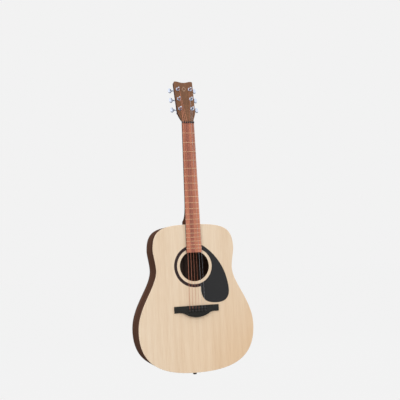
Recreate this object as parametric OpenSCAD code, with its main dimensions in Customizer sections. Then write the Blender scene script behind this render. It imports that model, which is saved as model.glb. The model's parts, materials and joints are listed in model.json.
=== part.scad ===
// Flat-top acoustic guitar with six steel strings, hanging by its headstock.
// The origin is the middle of the neck at the nut. +Z runs up the neck, -Y is the front and
// +X is the treble side. The soundboard's front face lies in the plane y = 0.

/* [Body] */
// Height of the body, from its tail to its shoulders
body_len = 500; // [410:1:520]
// Width across the lower bout
lower_w = 405; // [330:1:490]
// Width across the waist
waist_w = 269; // [220:1:280]
// Width across the upper bout
upper_w = 287; // [285:1:330]
// Depth of the body at its tail
tail_depth = 116; // [96:1:140]
// Depth of the body at its shoulders
shoulder_depth = 96; // [80:1:116]
// Thickness of the soundboard and of the back
plate_t = 2.8; // [2.3:0.1:3.4]
// Thickness of the sides
side_t = 2.2; // [1.8:0.1:2.7]
// Depth of the binding along the back's edge
binding_h = 6; // [5:0.5:8]

/* [Sound hole] */
// Diameter of the sound hole
hole_d = 103; // [85:1:108]
// Inner radius of the rosette
rosette_r = 61.5; // [58:0.5:66]
// Width of the rosette
rosette_w = 10.5; // [6:0.5:11]

/* [Neck] */
// Length of the strings between the nut and the saddle
scale_len = 634; // [620:1:655]
// Width of the fingerboard at the nut
nut_w = 43; // [41:0.5:52]
// Width of the fingerboard at its other end
board_end_w = 54; // [50:0.5:60]
// Thickness of the fingerboard
board_t = 6.5; // [5:0.5:8]
// Number of frets
fret_count = 20; // [18:1:20]
// Thickness of the neck's wood at the nut
neck_t = 14.5; // [12:0.5:17.5]

/* [Headstock] */
// Length of the headstock from the nut
head_len = 157; // [150:1:190]
// Width of the headstock at its top
head_w = 68; // [64:1:76]
// Thickness of the headstock
head_t = 15; // [13:0.5:18]
// Angle by which the headstock leans back
head_tilt = 14; // [8:0.5:16]
// Distance between the posts along the headstock
post_pitch = 38; // [32:0.5:40]

/* [Strings and bridge] */
// Distance between the outer strings at the nut
nut_spread = 36; // [33:0.5:38]
// Distance between the outer strings at the saddle
saddle_spread = 54; // [50:0.5:64]
// Width of the bridge
bridge_w = 157; // [130:1:188]
// Thickness of the bridge at its middle
bridge_t = 8.3; // [7:0.1:10]

/* [Tuners] */
// Teeth of each worm wheel
wheel_teeth = 14; // [12:1:16]
// Radius of each string post
post_r = 3; // [2.5:0.1:3.4]

/* [Hidden] */
$fn = 48;
steps = 12;                 // points on each of the outline's four curves
touch = 0.01;               // how far a cutter passes a face
glue = 0.04;                // gap between the neck and the body
run_gap = 0.05;             // radial clearance of a turning shaft

spruce = [0.87, 0.77, 0.62];
rosewood = [0.24, 0.15, 0.12];
mahogany = [0.45, 0.29, 0.20];
redwood = [0.62, 0.33, 0.24];
black = [0.13, 0.13, 0.14];
steel = [0.80, 0.81, 0.83];
bronze = [0.70, 0.47, 0.30];
ivory = [0.90, 0.87, 0.80];

// ---- places along the neck and body ----
function fret_z(n) = -scale_len * (1 - pow(2, -n / 12));
body_top = fret_z(14);
body_bottom = body_top - body_len;
hole_r = hole_d / 2;
hole_z = body_top - 0.286 * body_len;
board_end = fret_z(fret_count) - 14;
saddle_z = -scale_len - 2;
fret_h = 1;
board_radius = 400;
string_nut_y = -board_t - fret_h - 0.6;
string_saddle_y = string_nut_y - 3.6;
function board_half(z) = (nut_w + (board_end_w - nut_w) * z / board_end) / 2;
function back_y(z) = shoulder_depth + (tail_depth - shoulder_depth) * (body_top - z) / body_len;

// ---- the body's outline: four curves from the shoulder's middle to the tail's middle ----
upper_z = body_top - 0.170 * body_len;
waist_z = body_top - 0.306 * body_len;
lower_z = body_top - 0.704 * body_len;
curves = [
    [[0, body_top], [0.37 * upper_w, body_top],
     [upper_w / 2, upper_z + 0.149 * body_len], [upper_w / 2, upper_z]],
    [[upper_w / 2, upper_z], [upper_w / 2, upper_z - 0.029 * body_len],
     [waist_w / 2, waist_z + 0.046 * body_len], [waist_w / 2, waist_z]],
    [[waist_w / 2, waist_z], [waist_w / 2, waist_z - 0.111 * body_len],
     [lower_w / 2, lower_z + 0.166 * body_len], [lower_w / 2, lower_z]],
    [[lower_w / 2, lower_z], [lower_w / 2, lower_z - 0.218 * body_len],
     [0.325 * lower_w, body_bottom], [0, body_bottom]]
];
function on_curve(c, t) = c[0] * pow(1 - t, 3) + c[1] * 3 * t * pow(1 - t, 2)
    + c[2] * 3 * t * t * (1 - t) + c[3] * pow(t, 3);
function along_curve(c, t) = (c[1] - c[0]) * pow(1 - t, 2) + (c[2] - c[1]) * 2 * t * (1 - t)
    + (c[3] - c[2]) * t * t;
function inward(c, t) = let (d = along_curve(c, t)) [d[1], -d[0]] / norm(d);
function half_outline(off) = [
    for (c = curves, i = [0:steps - 1]) on_curve(c, i / steps) + off * inward(c, i / steps),
    [0, body_bottom + off]
];
function reversed(list) = [for (i = [len(list) - 1:-1:0]) list[i]];
function mirrored(list) = [for (p = reversed(list)) [-p[0], p[1]]];
function full_outline(off) = let (half = half_outline(off), n = len(half))
    concat(half, [for (i = [n - 2:-1:1]) [-half[i][0], half[i][1]]]);

// ---- helpers ----
// Raises an (x, z) outline between two depths
module deep(y0, y1) {
    translate([0, y1, 0]) rotate([90, 0, 0]) linear_extrude(y1 - y0) children();
}
// Raises a (y, z) outline across the object
module across(half_span) {
    translate([-half_span, 0, 0]) rotate([90, 0, 90]) linear_extrude(2 * half_span) children();
}
// Slab that follows the back, between two distances in front of its outer face
module back_slab(near, far) {
    zs = [body_top + 10, body_bottom - 10];
    across(lower_w) polygon([
        [back_y(zs[0]) - far, zs[0]], [back_y(zs[0]) - near, zs[0]],
        [back_y(zs[1]) - near, zs[1]], [back_y(zs[1]) - far, zs[1]]
    ]);
}
// Everything between a front plane and a face that follows the back
module body_depth(y0, near) {
    zs = [body_top + 10, body_bottom - 10];
    across(lower_w) polygon([
        [y0, zs[0]], [back_y(zs[0]) - near, zs[0]], [back_y(zs[1]) - near, zs[1]], [y0, zs[1]]
    ]);
}
module outline_2d(off) { polygon(full_outline(off)); }
module half_ring_2d(off0, off1) {
    polygon(concat(half_outline(off0), reversed(half_outline(off1))));
}
module ring_2d(off0, off1) {
    half_ring_2d(off0, off1);
    mirror([1, 0]) half_ring_2d(off0, off1);
}
// Round bar between two points
module rod(a, b, r) {
    d = b - a;
    translate(a) rotate([0, acos(d[2] / norm(d)), atan2(d[1], d[0])])
        cylinder(h = norm(d), r = r, $fn = 16);
}
function rounded_rect(w, h, r, n = 5) = [
    for (q = [0:3], i = [0:n])
        let (a = 90 * q + 90 * i / n, sx = (q == 0 || q == 3) ? 1 : -1, sy = q < 2 ? 1 : -1)
        [sx * (w / 2 - r) + r * cos(a), sy * (h / 2 - r) + r * sin(a)]
];

// ---- body shell ----
module hole_cut(r) {
    translate([0, 0, hole_z]) rotate([-90, 0, 0]) translate([0, 0, -20]) cylinder(h = 60, r = r);
}
module rosette_ring(y0, y1) {
    deep(y0, y1) translate([0, hole_z]) difference() {
        circle(rosette_r + rosette_w, $fn = 96);
        circle(rosette_r, $fn = 96);
    }
}
rosette_t = 1.2;
module soundboard() {
    color(spruce) difference() {
        deep(0, plate_t) outline_2d(0);
        hole_cut(hole_r, $fn = 96);
        rosette_ring(-1, rosette_t);
        for (i = [1:6]) pin_hole(i);
    }
}
module rosette() { color(black) rosette_ring(0, rosette_t); }
module back_plate() {
    color(rosewood) intersection() {
        back_slab(0, plate_t);
        deep(0, 200) outline_2d(side_t);
    }
}
module side_half() {
    difference() {
        intersection() {
            body_depth(plate_t, binding_h);
            deep(0, 200) half_ring_2d(0, side_t);
        }
        truss_bore();
        end_pin_bore();
    }
}
module side_treble() { color(rosewood) side_half(); }
module side_bass() { color(rosewood) mirror([1, 0, 0]) side_half(); }
module back_binding() {
    color(black) intersection() {
        back_slab(0, binding_h);
        deep(0, 200) ring_2d(0, side_t);
    }
}

// ---- blocks and linings ----
block_half = 33;
neck_block_len = 28;
tail_block_len = 18;
module neck_block() {
    color(mahogany) difference() {
        intersection() {
            body_depth(plate_t, plate_t);
            deep(0, 200) outline_2d(side_t);
            translate([-block_half, 0, body_top - side_t - neck_block_len])
                cube([2 * block_half, 200, 60]);
        }
        truss_bore();
    }
}
module tail_block() {
    color(mahogany) difference() {
        intersection() {
            body_depth(plate_t, plate_t);
            deep(0, 200) outline_2d(side_t);
            translate([-block_half, 0, body_bottom - 40])
                cube([2 * block_half, 200, 40 + side_t + tail_block_len]);
        }
        end_pin_bore();
    }
}
lining_h = 14;
lining_w = 6;
kerf_left = 1.4;
module lining_2d() {
    half = [for (c = curves, i = [0:steps - 1], k = [0:3])
        let (t = (i + [0.02, 0.8, 0.81, 0.99][k]) / steps)
        on_curve(c, t) + (side_t + (k < 2 ? lining_w : kerf_left)) * inward(c, t)];
    for (m = [0, 1]) mirror([m, 0]) difference() {
        polygon(concat(half_outline(side_t), reversed(half)));
        translate([-1, body_top - 60]) square([block_half + 1, 100]);
        translate([-1, body_bottom - 40]) square([block_half + 1, 100]);
    }
}
module top_linings() { color(spruce) deep(plate_t, plate_t + lining_h) lining_2d(); }
module back_linings() {
    color(spruce) intersection() {
        back_slab(plate_t, plate_t + lining_h);
        deep(0, 200) lining_2d();
    }
}

// ---- braces ----
// Bar glued behind the soundboard from a to b, (x, z), with its ends thinned
module top_bar(a, b, w, h, thin = 4) {
    d = b - a;
    run = norm(d);
    toe = min(45, run / 3);
    translate([a[0], plate_t, a[1]]) rotate([0, -atan2(d[1], d[0]), 0])
        translate([0, 0, -w / 2]) linear_extrude(w)
            polygon([[0, 0], [run, 0], [run, thin], [run - toe, h], [toe, h], [0, thin]]);
}
brace_off = side_t + lining_w + 1;
x_cross = [0, hole_z - hole_r - 30];
x_spread = 49;              // half the angle between the two X bars
x_bar_w = 8;
module trimmed() {
    intersection() {
        children();
        deep(0, 200) outline_2d(brace_off);
    }
}
function x_point(side, down, run) =
    x_cross + run * [side * sin(x_spread), (down ? -1 : 1) * cos(x_spread)];
module x_braces() {
    color(spruce) trimmed() {
        top_bar(x_point(-1, false, 175), x_point(1, true, 300), x_bar_w, 14);
        top_bar(x_point(1, false, 175), x_point(-1, true, 300), x_bar_w, 14);
    }
}
module bridge_plate() {
    plate_top = saddle_z + 2;
    color(mahogany) difference() {
        deep(plate_t, plate_t + 2.5) polygon([
            [-26, plate_top], [26, plate_top], [58, plate_top - 36], [-58, plate_top - 36]
        ]);
        for (i = [1:6]) pin_hole(i);
    }
}
module tone_bars() {
    color(spruce) trimmed() {
        top_bar([-64, saddle_z - 52], [110, saddle_z - 112], 7, 10);
        top_bar([-92, saddle_z - 102], [70, saddle_z - 158], 7, 10);
    }
}
module finger_braces() {
    reach = x_spread + 4;
    color(spruce) trimmed() for (s = [-1, 1], k = [0, 1]) {
        a = x_cross + [s * (62 + 42 * k), -(38 + 32 * k)];
        top_bar(a, a + 70 * [s * sin(reach + 38), 0.2 * cos(reach)], 6, 8);
    }
}
module upper_braces() {
    bar_z = body_top - 62;
    short_x = hole_r + 17;
    short_w = 6;
    // the short bars beside the hole end 1 mm clear of the X bars
    short_end = x_cross[1] + (short_x + short_w / 2) / tan(x_spread) + (x_bar_w / 2 + 1) / sin(x_spread);
    color(spruce) difference() {
        trimmed() {
            top_bar([-140, bar_z], [140, bar_z], 10, 13);
            for (s = [-1, 1])
                top_bar([s * short_x, short_end + 34], [s * short_x, short_end], short_w, 6);
        }
        translate([-6, 0, bar_z - 10]) cube([12, 12.5, 20]);
    }
}
module back_braces() {
    color(spruce) intersection() {
        for (k = [0:3]) {
            z = body_top - [90, 206, 300, 400][k] * body_len / 500;
            translate([-lower_w / 2, 0, z - 4]) cube([lower_w, 200, k < 2 ? 8 : 14]);
        }
        back_slab(plate_t + 2.5, plate_t + 15);
        deep(0, 200) outline_2d(brace_off);
    }
}
module back_strip() {
    color(rosewood) intersection() {
        back_slab(plate_t, plate_t + 2.5);
        translate([-9, 0, body_bottom + side_t + tail_block_len + 1])
            cube([18, 200, body_len - 2 * side_t - neck_block_len - tail_block_len - 2]);
    }
}

// ---- neck ----
heel_start = body_top + 76;
heel_depth = shoulder_depth - 11;
cap_t = 2.5;
cap_len = 13;               // how far the heel's flat end reaches up the neck
neck_rings = concat(
    [for (i = [0:6]) i * heel_start / 6],
    [for (i = [1:14]) heel_start + (body_top + cap_len - heel_start) * sin(90 * i / 14)],
    [body_top - 4]
);
function heel_s(z) = max(0, min(1, (heel_start - z) / (heel_start - body_top - cap_len)));
function shaft_t(z) = neck_t + 2 * min(1, z / heel_start);
function ring_depth(z) = let (s = heel_s(z))
    shaft_t(z) + (heel_depth + 9 - shaft_t(z)) * (1 - sqrt(1 - pow(0.985 * s, 2))) / 0.827;
function ring_point(z, a) = let (s = heel_s(z), p = 2 - 0.75 * s, q = 2 + 0.9 * s)
    [board_half(z) * sign(cos(a)) * pow(abs(cos(a)), 2 / p), ring_depth(z) * pow(sin(a), 2 / q), z];
ring_n = 24;
module neck_loft() {
    rings = len(neck_rings);
    points = [for (z = neck_rings, i = [0:ring_n]) ring_point(z, 180 * i / ring_n)];
    m = ring_n + 1;
    polyhedron(points, concat(
        [[for (i = [ring_n:-1:0]) i]],
        [[for (i = [0:ring_n]) (rings - 1) * m + i]],
        [for (r = [0:rings - 2], i = [0:ring_n])
            let (a = r * m + i, b = r * m + (i + 1) % m)
            each [[a, b, a + m], [b, b + m, a + m]]]
    ), convexity = 4);
}
rod_y = 6.5;
rod_r = 2.6;
rod_w = 6;
truss_end = body_top - side_t - neck_block_len - 12;
module truss_bore() {
    translate([0, rod_y, truss_end]) cylinder(h = 60, r = rod_r + 0.3);
}
module neck() {
    color(mahogany) difference() {
        neck_loft();
        deep(-10, 200) outline_2d(-glue);
        translate([-50, heel_depth, body_top - 10]) cube([100, 60, 100]);
        translate([-rod_w / 2, -1, body_top - 10]) cube([rod_w, 10.5, -body_top + 4]);
    }
}
module heel_cap() {
    color(black) difference() {
        intersection() {
            neck_loft();
            translate([-50, heel_depth, body_top - 10]) cube([100, cap_t, 100]);
        }
        deep(-10, 200) outline_2d(-glue);
    }
}
module truss_rod() {
    length = -body_top - 6;
    color(steel) {
        translate([-rod_w / 2, 0.3, -6 - length]) cube([rod_w, 3, length]);
        for (z = [-18, -6 - length]) translate([-rod_w / 2, 0.3, z]) cube([rod_w, 9, 12]);
        translate([0, rod_y, truss_end + 2]) cylinder(h = -truss_end - 10, r = rod_r);
    }
}
module truss_nut() {
    color(steel) translate([0, rod_y, truss_end]) difference() {
        cylinder(h = 10, r = 3.6);
        translate([0, 0, 2 - touch]) cylinder(h = 10, r = rod_r + run_gap);
        translate([0, 0, -1]) cylinder(h = 4, r = 2.3, $fn = 6);
    }
}
module fingerboard() {
    color(redwood) intersection() {
        deep(-board_t, 0) polygon([
            [-board_half(0), 0], [board_half(0), 0],
            [board_half(board_end), board_end], [-board_half(board_end), board_end]
        ]);
        translate([0, board_radius - board_t, board_end - 1])
            cylinder(h = 2 - board_end, r = board_radius, $fn = 720);
    }
}
module frets() {
    color(steel) for (n = [1:fret_count]) {
        z = fret_z(n);
        half = asin((board_half(z) - 0.4) / board_radius);
        translate([0, board_radius - board_t, z]) rotate([0, 0, -90 - half])
            rotate_extrude(angle = 2 * half, $fn = 720) translate([board_radius + touch, 0])
                polygon([[0, -1], [0.5, -1], [fret_h, -0.4], [fret_h, 0.4], [0.5, 1], [0, 1]]);
    }
}
nut_len = 5;
module nut_slot(i) {
    r = string_r[i - 1] + 0.05;
    middle = string_at(i, 0);
    rod(middle + [0, 0, -3], middle + [0, 0, 9], r);
    translate(middle + [-r, -5, -3]) cube([2 * r, 5, 12]);
}
module nut() {
    front = string_nut_y - 0.45;
    color(black) difference() {
        translate([-nut_w / 2, front, 0.05]) cube([nut_w, -front, nut_len - 0.05]);
        for (i = [1:6]) nut_slot(i);
    }
}

// ---- headstock: its own frame has z up the face and y = 0 on the wood's front ----
module on_head() { translate([0, 0, nut_len]) rotate([-head_tilt, 0, 0]) children(); }
function from_head(p) = [p[0], p[1] * cos(head_tilt) + p[2] * sin(head_tilt),
    nut_len - p[1] * sin(head_tilt) + p[2] * cos(head_tilt)];
veneer_t = 1.5;
neck_half = nut_w / 2;
head_half = head_w / 2;
ear = 4;                    // radius of the headstock's upper corners
dip = 4.5;                  // depth of the hollow between them
head_flare = [[neck_half, 0], [neck_half + 1, 13], [head_half - 5, 20], [head_half - 2.5, 36]];
head_dip = [[head_half - 9, head_len], [18, head_len - 0.4], [12, head_len - dip], [0, head_len - dip]];
function head_right(from_z) = concat(
    [[neck_half, from_z]],
    [for (i = [0:8]) on_curve(head_flare, i / 8)],
    [for (i = [0:4]) let (a = 90 * i / 4)
        [head_half - ear + ear * cos(a), head_len - ear + ear * sin(a)]],
    [for (i = [0:5]) on_curve(head_dip, i / 6)]
);
module head_2d(from_z) {
    right = head_right(from_z);
    polygon(concat(right, [[0, head_len - dip]], mirrored(right)));
}
module headstock() {
    color(mahogany) difference() {
        intersection() {
            on_head() deep(0, head_t) head_2d(-14);
            translate([-60, 0, 0]) cube([120, 120, 260]);
        }
        for (i = [1:6]) {
            at_post(i) rotate([-90, 0, 0]) translate([0, 0, -9]) cylinder(h = 40, r = sleeve_r);
            at_post(i) translate([0, head_t, screw_drop]) rotate([90, 0, 0])
                cylinder(h = 8, r = screw_r, $fn = 16);
        }
    }
}
module head_veneer() {
    color(rosewood) difference() {
        on_head() deep(-veneer_t, 0) head_2d(0);
        for (i = [1:6])
            at_post(i) rotate([-90, 0, 0]) translate([0, 0, -9]) cylinder(h = 40, r = sleeve_r);
        head_inlay();
    }
}
module head_inlay() {
    color(ivory) on_head() deep(-veneer_t, -veneer_t + 0.8)
        polygon([[0, head_len - 20], [8, head_len - 30], [0, head_len - 40], [-8, head_len - 30]]);
}

// ---- tuners: numbered as the strings, 6 the lowest ----
post_x = 22;
post_first = 50;
function post_side(i) = i > 3 ? -1 : 1;
function post_place(i) = [post_side(i) * post_x, 0, post_first + post_pitch * (i > 3 ? 6 - i : i - 1)];
module at_post(i) { on_head() translate(post_place(i)) children(); }

wheel_r = 3.6;
tooth = 0.45;               // half the height of a tooth
worm_r = 1.9;
mesh_gap = 0.25;
worm_rise = wheel_r + worm_r + mesh_gap;
worm_pitch = 2 * PI * wheel_r / wheel_teeth;
worm_y = head_t + 6.5;
sleeve_r = 4.2;
house_w = 15;
house_h = 20;
house_d = 12;
shaft_r = 1.4;
screw_r = 1.1;
screw_drop = -10.5;
button_x = 23;              // from the post's axis to the button's middle
face_y = -veneer_t;

module tuner_housing() {
    difference() {
        union() {
            translate([0, 0, 2.9]) deep(head_t, head_t + house_d)
                polygon(rounded_rect(house_w, house_h, 3));
            translate([0, 0, screw_drop + 0.5]) deep(head_t, head_t + 1.6)
                polygon(rounded_rect(8, 9, 3));
        }
        // pockets for the wheel and the worm, and the two bores out
        translate([0, head_t - 1, 0]) rotate([-90, 0, 0]) cylinder(h = 10.5, r = wheel_r + tooth + 0.35);
        translate([-5, worm_y, worm_rise]) rotate([0, 90, 0])
            cylinder(h = 10, r = worm_r + tooth + 0.35);
        translate([0, worm_y, worm_rise]) rotate([0, 90, 0]) cylinder(h = 12, r = shaft_r + run_gap);
        translate([0, head_t - 1, screw_drop]) rotate([-90, 0, 0]) cylinder(h = 5, r = screw_r, $fn = 16);
    }
}
module tuner_housings() {
    color(steel) for (i = [1:6]) at_post(i) scale_side(i) tuner_housing();
}
module scale_side(i) { mirror([post_side(i) < 0 ? 1 : 0, 0, 0]) children(); }
module tuner_bushings() {
    color(steel) for (i = [1:6]) at_post(i) difference() {
        rotate([90, 0, 0]) union() {
            translate([0, 0, -head_t]) cylinder(h = head_t - face_y + 1, r = sleeve_r);
            translate([0, 0, -face_y]) cylinder(h = 1, r = 6.6);
            translate([0, 0, 1 - face_y - touch]) cylinder(h = 2.6, r = 5.8, $fn = 6);
        }
        translate([0, -30, 0]) rotate([-90, 0, 0]) cylinder(h = 60, r = post_r + run_gap);
    }
}
module tuner_screws() {
    color(steel) for (i = [1:6]) at_post(i)
        translate([0, head_t + 1.6, screw_drop]) rotate([90, 0, 0]) difference() {
            union() {
                translate([0, 0, -0.5]) cylinder(h = 9.5, r = screw_r, $fn = 16);
                translate([0, 0, -1.3]) cylinder(h = 1.3, r = 2.3);
            }
            for (a = [0, 90]) rotate([0, 0, a]) translate([-1.5, -0.3, -2]) cube([3, 0.6, 1.4]);
        }
}
post_tip = 15;              // how far a post stands out of the veneer
string_hole = 11.6;         // height of the hole through a post
module tuner_post(i) {
    color(steel) at_post(i) rotate([90, 0, 0]) difference() {
        union() {
            translate([0, 0, -head_t]) cylinder(h = head_t - face_y + 8, r = post_r);
            rotate_extrude() polygon([
                [0, 7 - face_y], [post_r, 7 - face_y], [post_r, 9.6 - face_y], [post_r - 0.4, 10.4 - face_y],
                [post_r - 0.4, post_tip - 3 - face_y], [post_r, post_tip - 1.5 - face_y],
                [post_r - 0.7, post_tip - face_y], [0, post_tip - face_y]
            ]);
            translate([0, 0, -worm_y - 2]) linear_extrude(4) rotate(90) polygon([
                for (k = [0:8 * wheel_teeth - 1]) let (a = 360 * k / (8 * wheel_teeth))
                (wheel_r - tooth * cos(wheel_teeth * a)) * [cos(a), sin(a)]
            ]);
            translate([0, 0, -worm_y]) cylinder(h = worm_y, r = 2.2);
        }
        translate([0, -10, string_hole - face_y]) rotate([-90, 0, 0]) cylinder(h = 20, r = 0.9, $fn = 16);
    }
}
module tuner_key(i) {
    turns = 3;
    color(steel) at_post(i) translate([0, worm_y, worm_rise]) {
        translate([-(turns / 2) * worm_pitch, 0, 0]) rotate([0, 90, 0])
            linear_extrude(turns * worm_pitch, twist = -360 * turns, slices = 8 * turns, segments = 12)
                translate([-tooth, 0]) circle(worm_r, $fn = 12);
        scale_side(i) {
            rotate([0, 90, 0]) cylinder(h = button_x - 4, r = shaft_r);
            translate([12.5 - 4.4, 0, 0]) rotate([0, 90, 0]) cylinder(h = 8, r = 2.6);
            translate([button_x, 0, 0]) deep(-3.2, 3.2) polygon([
                for (k = [0:31]) let (a = 360 * k / 32)
                [6.4 * sign(cos(a)) * pow(abs(cos(a)), 0.8), 9.6 * sign(sin(a)) * pow(abs(sin(a)), 0.8)]
            ]);
        }
    }
}

// ---- strings: 1 the highest, 6 the lowest ----
string_r = [0.20, 0.26, 0.34, 0.44, 0.56, 0.68];
function spread_x(i, spread) = spread * (3.5 - i) / 5;
// Middle of string i, over the nut's contact line at k = 0 and the saddle's at k = 1
function string_at(i, k) = [
    spread_x(i, nut_spread + (saddle_spread - nut_spread) * k),
    string_nut_y + (string_saddle_y - string_nut_y) * k + crown(spread_x(i, nut_spread))
        - string_r[i - 1],
    saddle_z * k
];
function crown(x) = x * x / (2 * board_radius);
pin_z = saddle_z - 9;
function pin_place(i) = [spread_x(i, saddle_spread), 0, pin_z - abs(i - 3.5) * 0.3];
coil_low = 5.2;             // height of the lowest turn above the veneer
// Where string i meets its post, on the post's inner side
function coil_start(i) = let (p = post_place(i), r = string_r[i - 1])
    from_head([p[0] - post_side(i) * (post_r + r + 0.1), face_y - coil_low + r, p[2] - 0.5]);
function unit(v) = v / norm(v);
// Tube through stops, each [point, radius], whose way is never straight across the object
module tube(stops, sides = 8) {
    n = len(stops);
    ways = [for (i = [0:n - 1]) unit(
        (i > 0 ? unit(stops[i][0] - stops[i - 1][0]) : [0, 0, 0])
        + (i < n - 1 ? unit(stops[i + 1][0] - stops[i][0]) : [0, 0, 0]))];
    points = [for (i = [0:n - 1], k = [0:sides - 1])
        let (e = unit(cross(ways[i], [1, 0, 0])), f = cross(ways[i], e), a = 360 * k / sides)
        stops[i][0] + stops[i][1] * (cos(a) * e + sin(a) * f)];
    polyhedron(points, concat(
        [[for (k = [0:sides - 1]) k]],
        [[for (k = [sides - 1:-1:0]) (n - 1) * sides + k]],
        [for (i = [0:n - 2], k = [0:sides - 1])
            let (a = i * sides + k, b = i * sides + (k + 1) % sides)
            each [[a, a + sides, b], [b, a + sides, b + sides]]]
    ), convexity = 6);
}
module string_path(i) {
    r = string_r[i - 1];
    slot = pin_place(i) + [0, 0, 3.5];
    saddle_back = saddle_t / 2 + 0.1 + spread_x(i, saddle_spread) * sin(saddle_slant);
    tube([
        [coil_start(i), r],
        [string_at(i, 0) + [0, 0, nut_len - 0.5], r],
        [string_at(i, 0) + [0, 0, 0.5], r],
        [string_at(i, 1) - [0, 0, saddle_back], r],
        [slot + [0, -bridge_t - 0.5, 0], r],
        [slot + [0, plate_t + 3, 0], r],
        [slot + [0, plate_t + 3.2, 0], 1.1],
        [slot + [0, plate_t + 6, 0], 1.1]
    ]);
}
module wound_strings() { color(bronze) for (i = [3:6]) string_path(i); }
module plain_strings() { color(steel) for (i = [1, 2]) string_path(i); }
module string_coil(i) {
    r = string_r[i - 1];
    turns = i > 3 ? 3 : 4;
    color(i > 2 ? bronze : steel) at_post(i) rotate([90, 0, 0]) rotate_extrude()
        for (k = [0:turns - 1])
            translate([post_r + 1.03 * r, coil_low - face_y + (2 * k + 1.3) * r])
                circle(r * 1.02, $fn = 12);
}

// ---- bridge, saddle, pins, pickguard ----
wing_t = 3.6;
bridge_top = saddle_z + 8;
wing_h = 22;
belly_h = 39;
module bridge_profile(h) {
    // thins the wings on both sides of the string field
    flat = saddle_spread / 2 + 12;
    deepest = bridge_w / 2;
    polygon([
        [-deepest, 0], [deepest, 0], [deepest, -wing_t], [flat + 22, -wing_t], [flat, -h],
        [-flat, -h], [-flat - 22, -wing_t], [-deepest, -wing_t]
    ]);
}
function belly_right() = [for (i = [0:10]) on_curve([
    [bridge_w / 2 - 20, bridge_top - wing_h], [bridge_w / 2 - 38, bridge_top - wing_h],
    [34, bridge_top - belly_h], [0, bridge_top - belly_h]], i / 10)];
module bridge_2d() {
    right = concat([[bridge_w / 2, bridge_top], [bridge_w / 2, bridge_top - wing_h]], belly_right());
    polygon(concat(right, [for (p = reversed(right)) if (p[0] > 0.01) [-p[0], p[1]]]));
}
saddle_w = 74;
saddle_t = 2.6;
saddle_slant = 1.6;
module saddle_frame() {
    translate([0, 0, saddle_z]) rotate([0, saddle_slant, 0]) children();
}
module bridge() {
    color(black) difference() {
        intersection() {
            deep(-bridge_t - 1, 0) bridge_2d();
            translate([0, 0, bridge_top - 60]) linear_extrude(80) bridge_profile(bridge_t);
        }
        saddle_frame() translate([-saddle_w / 2, -20, -saddle_t / 2]) cube([saddle_w, 16, saddle_t]);
        for (i = [1:6]) pin_hole(i);
    }
}
module saddle() {
    color(black) saddle_frame() deep_z(saddle_t) polygon(concat(
        [[saddle_w / 2, -4], [-saddle_w / 2, -4], [-saddle_w / 2, string_saddle_y + 3]],
        [for (k = [-5:5]) let (x = k * (saddle_w / 2 - 4) / 5)
            [x, string_saddle_y + crown(x * nut_spread / saddle_spread)]],
        [[saddle_w / 2, string_saddle_y + 3]]
    ));
}
// Raises an (x, y) outline by a thickness centred on z = 0
module deep_z(t) { translate([0, 0, -t / 2]) linear_extrude(t) children(); }
pin_r = 2.7;
module pin_hole(i) {
    translate(pin_place(i) + [0, 20, 0]) rotate([90, 0, 0]) cylinder(h = 60, r = pin_r, $fn = 24);
    translate(pin_place(i) + [-0.9, -20, 0]) cube([1.8, 40, 4.4]);
}
module bridge_pins() {
    color(black) for (i = [1:6]) translate(pin_place(i)) rotate([90, 0, 0]) rotate_extrude() polygon([
        [0, -15], [2.1, -15], [2.5, -plate_t], [2.5, bridge_t + 1.4], [3.9, bridge_t + 2],
        [4.1, bridge_t + 2.8], [2.6, bridge_t + 4.4], [0, bridge_t + 4.9]
    ]);
}
guard_t = 1.2;
function at_hole(x, rise) = [x, hole_z + rise];
module pickguard() {
    // outer edge, from the tip beside the fingerboard down round the lower lobe
    tip = [board_half(hole_z + 60) + 2, hole_z + rosette_r + rosette_w - 1];
    edge = concat(
        [for (i = [0:9]) on_curve([tip, at_hole(64, 50), at_hole(100, 6), at_hole(112, -42)], i / 10)],
        [for (i = [0:7]) on_curve([at_hole(112, -42), at_hole(124, -88), at_hole(126, -126),
            at_hole(74, -127)], i / 8)],
        [for (i = [0:8]) on_curve([at_hole(74, -127), at_hole(30, -126), at_hole(18, -112),
            at_hole(18.5, -62)], i / 8)]
    );
    color(black) deep(-guard_t, 0) difference() {
        polygon(concat(edge, [[18.5, hole_z], [board_half(hole_z) + 2, hole_z + 20]]));
        translate([0, hole_z]) circle(rosette_r, $fn = 96);
    }
}

// ---- end pin ----
end_pin_y = back_y(body_bottom) / 2;
module end_pin_bore() {
    translate([0, end_pin_y, body_bottom - 5]) cylinder(h = 24, r = 3.4);
}
module end_pin() {
    color(black) translate([0, end_pin_y, body_bottom]) rotate_extrude() polygon([
        [0, 16], [3.4, 16], [3.4, 0], [6.5, 0], [6.5, -1.6], [3.6, -2.4], [3.6, -7.6],
        [6.6, -9], [6.6, -12.6], [5.2, -14], [0, -14]
    ]);
}

soundboard();
rosette();
back_plate();
side_bass();
side_treble();
back_binding();
neck_block();
tail_block();
top_linings();
back_linings();
x_braces();
tone_bars();
finger_braces();
upper_braces();
bridge_plate();
back_braces();
back_strip();
neck();
heel_cap();
truss_rod();
truss_nut();
fingerboard();
frets();
nut();
headstock();
head_veneer();
head_inlay();
tuner_housings();
tuner_bushings();
tuner_screws();
tuner_key(1);  // tuner_key_1
tuner_key(2);  // tuner_key_2
tuner_key(3);  // tuner_key_3
tuner_key(4);  // tuner_key_4
tuner_key(5);  // tuner_key_5
tuner_key(6);  // tuner_key_6
tuner_post(1);  // tuner_post_1
tuner_post(2);  // tuner_post_2
tuner_post(3);  // tuner_post_3
tuner_post(4);  // tuner_post_4
tuner_post(5);  // tuner_post_5
tuner_post(6);  // tuner_post_6
string_coil(1);  // string_coil_1
string_coil(2);  // string_coil_2
string_coil(3);  // string_coil_3
string_coil(4);  // string_coil_4
string_coil(5);  // string_coil_5
string_coil(6);  // string_coil_6
wound_strings();
plain_strings();
bridge();
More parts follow.
